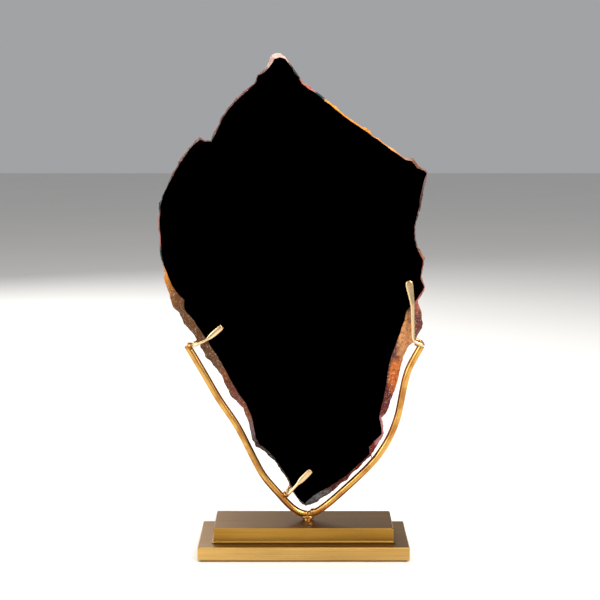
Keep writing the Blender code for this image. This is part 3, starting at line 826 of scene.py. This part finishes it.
# %% Paint the dark end
OLIVE_PATCH = [(584, 58.75, 59.3), (591, 58.5, 59.8), (600, 58.38, 60.4), (620, 58.32, 60.5),
    (634, 58.2, 60.2), (645, 58.18, 59.5), (656, 58.22, 59.25), (664, 58.5, 58.95)]
TEAL_BLOCK = [(694, 58.15, 58.7), (698, 58.15, 59.3), (706, 58.15, 59.45), (722, 58.15, 59.52),
    (731, 58.3, 59.5), (737, 58.5, 59.35)]
SCARLET_END = [(684, 61.6, 62.2), (694, 61.4, 63.5), (710, 61.05, 63.5), (725, 60.95, 63.5),
    (745, 61.05, 63.5), (768, 61.3, 63.5)]

DARK_END = [
    (("black teal", "black", "cloud"), [(661, 54.95, 63.5), (668, 54.9, 63.5), (700, 54.95, 63.5),
        (790, 55.0, 63.5)], 0.15),
    (("rust", "brown", "grain"), [(556, 56.9, 57.35), (564, 56.75, 57.7), (577, 56.7, 57.8),
        (590, 56.67, 57.35), (598, 56.6, 57.2)], 0.07),
    ("burnt", 57.0, 586, 0.16, 5, 0.6),
    (("crimson", "mauve brown", "grain"), [(593, 56.62, 57.35), (603, 56.58, 57.3),
        (618, 56.42, 57.15)], 0.1),
    (("purple", "crimson", "streak"), [(618, 56.45, 57.2), (640, 56.35, 57.1),
        (660, 56.35, 57.2)], 0.08),
    (("purple", "dark red", "cloud"), [(578, 57.6, 57.95), (590, 57.5, 58.05), (610, 57.4, 58.02),
        (640, 57.22, 57.95), (665, 57.3, 57.95)], 0.06),
    ("lilac", [(581, 57.5, 57.58), (600, 57.37, 57.44), (620, 57.16, 57.23), (640, 57.08, 57.18),
        (652, 57.05, 57.2)], 0.05, 0.45),
    ("black teal", [(571, 57.9, 58.5), (586, 57.97, 58.5), (600, 58.02, 58.36), (625, 58.0, 58.28),
        (668, 57.95, 58.12)], 0.06),
    (("olive", "brown", "cloud"), OLIVE_PATCH, 0.07),
    ("rust", 58.75, 596, 0.2, 5, 0.6),
    ("brown", 58.62, 622, 0.12, 10, 0.7),
    ("dark olive", 59.75, 628, 0.25, 12, 0.7),
    ("burnt", 59.4, 632, 0.1, 5, 0.5),
    ("olive gold", 58.75, 656, 0.22, 6, 0.4),
    ("crimson", 56.5, 647, 0.12, 4, 0.8),
    ("mauve brown", 56.9, 648, 0.18, 5, 0.8),
    ("salmon", 56.52, 665, 0.08, 5, 0.7),
    ("grey teal", 56.0, 671, 0.22, 3.4, 0.8),
    ("ice", 55.95, 674, 0.06, 1.4),
    ("ice", [(677, 55.75, 55.95), (688, 55.8, 56.0), (700, 56.05, 56.15),
        (712, 56.2, 56.28)], 0.05, 0.6),
    ("teal", 55.45, 694, 0.1, 5, 0.7),
    ("dark olive", 55.4, 680, 0.16, 8, 0.6),
    ("bottle green", 56.6, 700, 0.4, 10, 0.8),
    ("brown", 56.65, 704, 0.08, 3.4, 0.8),
    ("red orange", 56.35, 715, 0.07, 2.6, 0.8),
    ("teal", 56.15, 737, 0.12, 8, 0.5),
    (("dark red", "scarlet", "cloud"), [(640, 57.35, 57.8), (660, 57.32, 57.87),
        (675, 57.3, 57.92)], 0.07),
    (("scarlet", "dark red", "streak"), [(672, 57.3, 57.92), (690, 57.3, 57.97), (702, 57.4, 57.97),
        (714, 57.55, 57.93)], 0.06),
    ("scarlet", 57.6, 690, 0.25, 8, 0.8),
    ("scarlet", 56.8, 687, 0.45, 2.4, 0.9),
    ("lilac", [(694, 57.2, 57.28), (704, 57.24, 57.36), (712, 57.16, 57.45),
        (721, 57.2, 57.36)], 0.05, 0.8),
    (("rose", "lilac", "grain"), [(712, 57.65, 57.94), (718, 57.6, 57.98), (730, 57.66, 57.94),
        (744, 57.76, 57.86)], 0.05, 0.8),
    ("lilac white", 57.8, 716, 0.1, 2.4, 0.6),
    ("lilac", 57.0, 729, 0.09, 5, 0.7),
    ("mauve brown", 56.95, 745, 0.12, 7, 0.8),
    ("lilac", 57.45, 734, 0.05, 5, 0.5),
    ("lilac", 57.48, 750, 0.07, 8, 0.5, -3),
    ("crimson", 57.1, 755, 0.2, 3.4, 0.8),
    (("dark red", "purple", "grain"), [(657, 59.55, 60.3), (667, 59.5, 60.45), (690, 59.5, 60.2),
        (703, 59.6, 60.3)], 0.08),
    ("scarlet", 60.15, 664, 0.15, 2.8),
    ("red orange", 59.87, 694, 0.2, 3.6, 0.45),
    (("crimson", "purple", "grain"), [(703, 59.62, 60.3), (712, 59.65, 60.33),
        (723, 59.75, 60.28)], 0.08),
    (("dark brown", "purple", "grain"), 58.3, 679, 0.35, 5, 0.8),
    (("teal", "black teal", "cloud"), TEAL_BLOCK, 0.05, 0.9),
    ("ice", [(695, 58.2, 58.38), (701, 58.08, 58.28), (712, 58.06, 58.24),
        (723, 58.08, 58.18)], 0.05, 0.85),
    ("grey teal", 58.4, 694.5, 0.26, 1.2, 0.7),
    ("lilac", [(697, 59.32, 59.46), (706, 59.43, 59.52), (724, 59.55, 59.6)], 0.04, 0.85),
    ("grey teal", 58.75, 712, 0.12, 4, 0.45),
    ("grey teal", 58.8, 724, 0.1, 2, 0.5),
    ("ice", 59.2, 690, 0.14, 3.4, 0.55),
    ("grey teal", 58.6, 685, 0.12, 1.2, 0.6),
    ("rose", [(672, 60.28, 60.34), (690, 60.28, 60.33), (716, 60.33, 60.38)], 0.03, 0.5),
    ("teal", 60.52, 722, 0.08, 5.5, 0.9),
    ("ice", 60.85, 674, 0.05, 4, 0.6),
    ("grey teal", 60.42, 654, 0.1, 2, 0.8),
    ("crimson", 61.1, 674, 0.1, 4),
    (("scarlet", "dark red", "cloud"), SCARLET_END, 0.1),
    ("scarlet", 62.0, 704, 0.5, 7, 0.8),
    (("mauve brown", "crimson", "grain"), 61.3, 697, 0.26, 7, 0.9),
    ("scarlet", 58.95, 753, 0.16, 2.2, 0.9),
    ("scarlet", 60.5, 768, 0.14, 1.6, 0.7),
]

LOWER_MIDDLE = [
    (("salmon", "mauve brown", "cloud"), [(668, 54.35, 54.85), (682, 54.38, 54.82), (696, 54.35, 54.85),
        (703, 54.35, 54.85)], 0.08),
    (("dark olive", "dark brown", "grain"), [(667, 54.8, 55.2), (682, 54.82, 55.22),
        (700, 54.87, 55.15)], 0.07),
    (("red orange", "burnt", "streak"), [(701, 54.3, 54.92), (712, 54.3, 54.95), (725, 54.2, 54.92),
        (746, 54.2, 54.88)], 0.07),
    (("dark red", "dark brown", "cloud"), [(700, 54.9, 55.35), (720, 54.88, 55.6),
        (750, 54.85, 55.9)], 0.08),
    (("olive", "tan", "streak"), [(662, 53.4, 54.1), (675, 53.3, 54.1), (690, 53.3, 54.0),
        (705, 53.4, 53.9)], 0.1),
    ("straw", [(663, 53.5, 53.56), (680, 53.58, 53.64), (702, 53.68, 53.73)], 0.04, 0.8),
    (("lime", "olive", "grain"), [(668, 53.85, 54.05), (676, 54.0, 54.25), (686, 54.05, 54.35),
        (693, 54.15, 54.25)], 0.05),
    ("dark brown", 54.75, 665, 0.3, 3, 0.9),
    ("dark brown", 54.15, 694, 0.12, 1.6, 0.8),
    (("lilac white", "rose", "grain"), [(695, 54.0, 54.1), (701, 53.95, 54.25), (711, 53.75, 54.3),
        (720, 53.6, 54.32), (730, 53.63, 54.26), (734, 53.8, 54.1)], 0.05),
    (("mauve brown", "dark brown", "grain"), [(705, 54.0, 54.1), (712, 53.92, 54.15),
        (720, 53.92, 54.15), (729, 53.97, 54.08)], 0.05),
    ("lilac white", 53.8, 724, 0.09, 4),
]

# %% [markdown]
# ## Veins and grains
# Earth movement cracked the stone, and silica healed the cracks as hair-thin pale veins.
# A few white grains lie in the dark end. Last comes a fine mottle over everything.

# %% Veins
VEINS = [
    [(42.2, 548), (43.1, 547)], [(48.3, 590), (49.0, 587), (49.6, 583.5), (50.2, 577.5)],
    [(52.9, 560), (53.4, 559), (54.4, 557.5), (55.0, 556), (55.4, 554), (55.9, 553)],
    [(54.3, 543), (54.8, 542)], [(55.0, 564), (55.4, 561)], [(57.0, 576), (57.9, 574.5)],
    [(57.9, 577), (58.3, 583), (58.7, 586), (59.4, 588)], [(53.0, 655.5), (53.7, 659)],
    [(54.9, 653), (55.5, 655), (56.2, 657), (56.7, 658.5)],
    [(57.85, 664), (58.2, 669), (58.6, 671.3), (59.3, 672), (59.9, 671.5)],
    [(54.9, 706), (55.3, 711), (55.7, 713), (56.25, 716)], [(54.8, 717.5), (55.25, 719)],
    [(56.7, 679), (57.2, 678)], [(54.3, 669), (54.8, 668)], [(55.4, 669), (55.7, 670)],
    [(59.7, 698), (60.2, 702), (60.6, 705.5), (61.3, 706.5), (61.9, 708), (62.3, 717)],
    [(60.4, 704), (60.9, 708), (61.4, 713), (62.0, 719), (62.3, 720)],
    [(60.4, 690.5), (61.4, 686)], [(61.4, 684), (61.7, 691), (61.95, 696)],
    [(58.1, 737), (58.5, 733), (59.0, 731), (59.6, 727.5)], [(58.9, 731), (59.4, 736), (59.9, 741)],
    [(58.0, 740), (58.5, 742), (59.2, 745), (59.9, 749), (60.5, 750.5)],
    [(58.2, 727), (58.5, 731)], [(58.1, 753), (58.5, 755), (59.4, 755.5), (60.1, 756)],
    [(59.9, 771), (60.9, 769.5)], [(60.1, 646), (60.5, 645)],
]
GRAINS = [(55.5, 720.5), (55.75, 729), (55.65, 747), (56.15, 752), (57.2, 682), (56.82, 673),
    (59.65, 755), (61.4, 718.5)]


def paint_veins(canvas):
    for points in VEINS:
        canvas.vein(points)
    for angle, reach in GRAINS:
        canvas.dab("lilac white", angle, reach, 0.06, 0.9, 0.8)


def mottle(canvas, strength=0.3):
    """Light and dark over the whole pattern, finely streaked along the bands."""
    recipe = canvas.recipe
    light = canvas.streak * (strength * 0.55) + canvas.grain * (strength * 0.45) + (1.0 - strength * 0.5)
    return recipe.blend(canvas.colour, light, 1.0, "MULTIPLY")


# %% [markdown]
# ## Polish
# The polished faces are glossy, with a trace of orange peel left by the last buffing wheel.
# Coarser grains take the polish a little less well, so they are slightly duller.
#
# This cell has an open fault. The material comes to more than 1,700 nodes, and in a render the
# polished faces are black: none of the painted layers has been seen yet.

# %% Polished jasper
def make_polished_jasper():
    recipe = Recipe("polished_jasper", {"Specular IOR Level": 0.35})
    canvas = Canvas(recipe)
    canvas.ground(GROUND)
    for rows in (GOLDEN_HEART, LEFT_END, TEAL_SIDE, RED_SIDE, DARK_END, LOWER_MIDDLE):
        canvas.paint(rows)
    paint_veins(canvas)
    peel = recipe.noise(canvas.straight, 1 / 3.0, 3.0)
    roughness = canvas.grain * 0.06 + 0.14
    return recipe.finish(mottle(canvas), roughness, peel, depth=0.00002, strength=0.3)


# %% [markdown]
# ## Broken rim
# A fresh break is matt and paler where it is bruised. The bands run on into it, under a
# whitish patch at the peak that is fine chipping brightened by painted highlight, black painted shade at the
# lower left and pink matrix on the right.

# %% Rim jasper
# name: colour, x and z of the middle in mm, half width, half height, strength
RIM_PATCHES = [
    # The whitish patch at the peak is partly chipping and partly painted highlight; the two black patches at
    # the lower left are painted shade.
    ("lilac white", -22, 372, 14, 9, 0.8),
    ("black", -75, 175, 34, 66, 0.85),
    ("black", -20, 70, 50, 34, 0.7),
    ("lilac white", -101, 222, 4, 8, 0.6),
    ("salmon", 88, 205, 12, 26, 0.75),
    ("mauve brown", 80, 160, 16, 22, 0.6),
    ("straw", 76, 165, 6, 22, 0.6),
    ("orange", 70, 135, 7, 14, 0.5),
    ("pale pink", 60, 93, 10, 12, 0.8),
    ("ice", 12, 40, 16, 8, 0.5),
    ("lilac", -7, 46, 7, 7, 0.5),
    ("rust", -100, 290, 12, 26, 0.5),
    ("dark brown", 86, 262, 10, 30, 0.6),
    ("cream peach", 70, 302, 14, 9, 0.4),
]


def make_broken_jasper():
    recipe = Recipe("broken_jasper", {"Specular IOR Level": 0.25})
    canvas = Canvas(recipe)
    canvas.ground(GROUND)
    place = recipe.stretch(recipe.node("TexCoord", output="Object"), (1000.0, 1000.0, 1000.0))
    wander = recipe.noise(place, 1 / 6.0, 4.0, 1)
    moved = canvas.shift(place, wander, (10.0, 0.0, 10.0))
    for colour, x, z, half_width, half_height, strength in RIM_PATCHES:
        oval = recipe.node("Mapping", {"vector_type": "TEXTURE"}, {
            0: recipe.stretch(moved, (1.0, 0.0, 1.0)), 1: (x, 0.0, z), 3: (half_width, 1.0, half_height)})
        out = recipe.node("VectorMath", {"operation": "LENGTH"}, {0: oval}, 1)
        canvas.colour = recipe.blend(canvas.colour, C[colour], recipe.ramp(out, 1.2, 0.6, 0.0, strength))
    bruise = recipe.ramp(recipe.noise(place, 1 / 1.6, 4.0), 0.52, 0.72, 0.0, 0.45)
    pits = recipe.ramp(recipe.noise(place, 1 / 2.6, 4.0), 0.44, 0.3, 0.0, 0.7)
    colour = recipe.blend(canvas.colour, C["lilac white"], bruise)
    colour = recipe.blend(colour, C["dark brown"], pits)
    height = recipe.noise(place, 1 / 0.9, 5.0)
    return recipe.finish(colour, canvas.grain * 0.2 + 0.6, height, depth=0.0005, strength=0.8)


stone.data.materials.append(make_polished_jasper())
stone.data.materials.append(make_broken_jasper())
FLAT_AREA = 0.001
for face in stone.data.polygons:
    face.material_index = 0 if face.area > FLAT_AREA else 1
hand_over(stone, "jasper", "jasper_slab")


# %% [markdown]
# ## Brass
# The plates were drawn over an abrasive belt, so fine lines run along them, and a brown patina lies on them
# in patches. What faces up is painted a darker brown as painted shade, and the upper plate is painted darker
# than the lower as painted shade. The rods are smoother, and their fingertips are painted a brighter cream
# as a painted highlight.

# %% Brass finishes
def make_plate_brass(name, fresh, aged):
    """Brushed brass with lines along X."""
    recipe = Recipe(name, {"Metallic": 1.0})
    place = recipe.node("TexCoord", output="Object")
    lines = recipe.noise(recipe.stretch(place, (12.0, 1800.0, 1800.0)), 1.0, 3.0)
    broad = recipe.noise(recipe.stretch(place, (9.0, 60.0, 60.0)), 1.0, 4.0)
    # What faces up is painted a darker brown: painted shade on the plates' tops.
    facing = recipe.node("NewGeometry", output="True Normal")
    top_painted_shade = recipe.ramp(recipe.node("SeparateXYZ", None, {0: facing}).other("Z"), 0.75, 0.95)
    patina = recipe.ramp(broad, 0.35, 0.7)
    colour = recipe.blend(fresh, aged, patina * 0.55)
    colour = recipe.blend(colour, tint(96, 66, 34), top_painted_shade * 0.75)
    colour = recipe.blend(colour, recipe.ramp(lines, 0.3, 0.7, 0.86, 1.08), 1.0, "MULTIPLY")
    roughness = lines * 0.14 + patina * 0.08 + 0.27
    return recipe.finish(colour, roughness, lines, depth=0.00003, strength=0.35)


def make_rod_brass():
    recipe = Recipe("rod_brass", {"Metallic": 1.0})
    place = recipe.node("TexCoord", output="Object")
    cloud = recipe.ramp(recipe.noise(place, 90.0, 4.0), 0.38, 0.66)
    grain = recipe.noise(place, 1400.0, 3.0)
    depth = recipe.math("ABSOLUTE", recipe.node("SeparateXYZ", None, {0: place}).other("Y"))
    # The fingertips, which stand farthest out in Y, are painted a bright cream: a painted highlight.
    tips = recipe.ramp(depth, 0.0072, 0.0092)
    colour = recipe.blend(tint(206, 158, 84), tint(172, 118, 58), cloud)
    colour = recipe.blend(colour, tint(244, 216, 170), tips * 0.8)
    return recipe.finish(colour, cloud * 0.1 + grain * 0.08 + 0.2, grain, depth=0.00005, strength=0.4)


def make_braze():
    recipe = Recipe("braze_metal", {"Metallic": 1.0})
    place = recipe.node("TexCoord", output="Object")
    cloud = recipe.ramp(recipe.noise(place, 420.0, 4.0), 0.4, 0.64)
    colour = recipe.blend(tint(214, 170, 104), tint(160, 108, 58), cloud)
    return recipe.finish(colour, cloud * 0.15 + 0.24, cloud, depth=0.0001, strength=0.4)


def make_felt():
    recipe = Recipe("felt", {"Sheen Weight": 0.4})
    place = recipe.node("TexCoord", output="Object")
    fibres = recipe.noise(place, 2600.0, 4.0)
    colour = recipe.blend(tint(16, 16, 18), tint(44, 42, 44), recipe.ramp(fibres, 0.4, 0.65))
    return recipe.finish(colour, fibres * 0.1 + 0.85, fibres, depth=0.0002, strength=0.7)


# Both plates are one brass. The upper plate is given darker colours as painted shade, and the lower plate
# lighter ones as painted light.
upper_brass_painted_shade = make_plate_brass("upper_plate_brass", tint(178, 134, 58), tint(140, 100, 34))
lower_brass_painted_light = make_plate_brass("lower_plate_brass", tint(206, 166, 96), tint(172, 130, 66))
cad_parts["base_upper"].material_slots[0].material = upper_brass_painted_shade
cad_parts["base_lower"].material_slots[0].material = lower_brass_painted_light
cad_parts["felt_pad"].material_slots[0].material = make_felt()
rod_brass = make_rod_brass()
braze_metal = make_braze()
for name, rod in rods.items():
    rod.data.materials.clear()
    rod.data.materials.append(braze_metal if name.startswith("braze") else rod_brass)
    hand_over(rod, "brass", *([name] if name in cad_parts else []))

# %% [markdown]
# ## Floor
# A plain pale floor, wide enough to reach the horizon from any side.

# %% Floor
bpy.ops.object.select_all(action="DESELECT")
bpy.ops.mesh.primitive_plane_add(size=12.0, location=(0.0, 0.0, -0.0002))
floor = bpy.context.object
floor.name = "floor"
floor_paint = Recipe("floor_paint", {"Specular IOR Level": 0.2, "Roughness": 0.8})
floor_place = floor_paint.node("TexCoord", output="Object")
floor_tone = floor_paint.noise(floor_place, 3.0, 3.0)
floor_colour = floor_paint.blend(tint(226, 224, 220), tint(232, 230, 227), floor_tone)
floor.data.materials.append(floor_paint.finish(floor_colour))
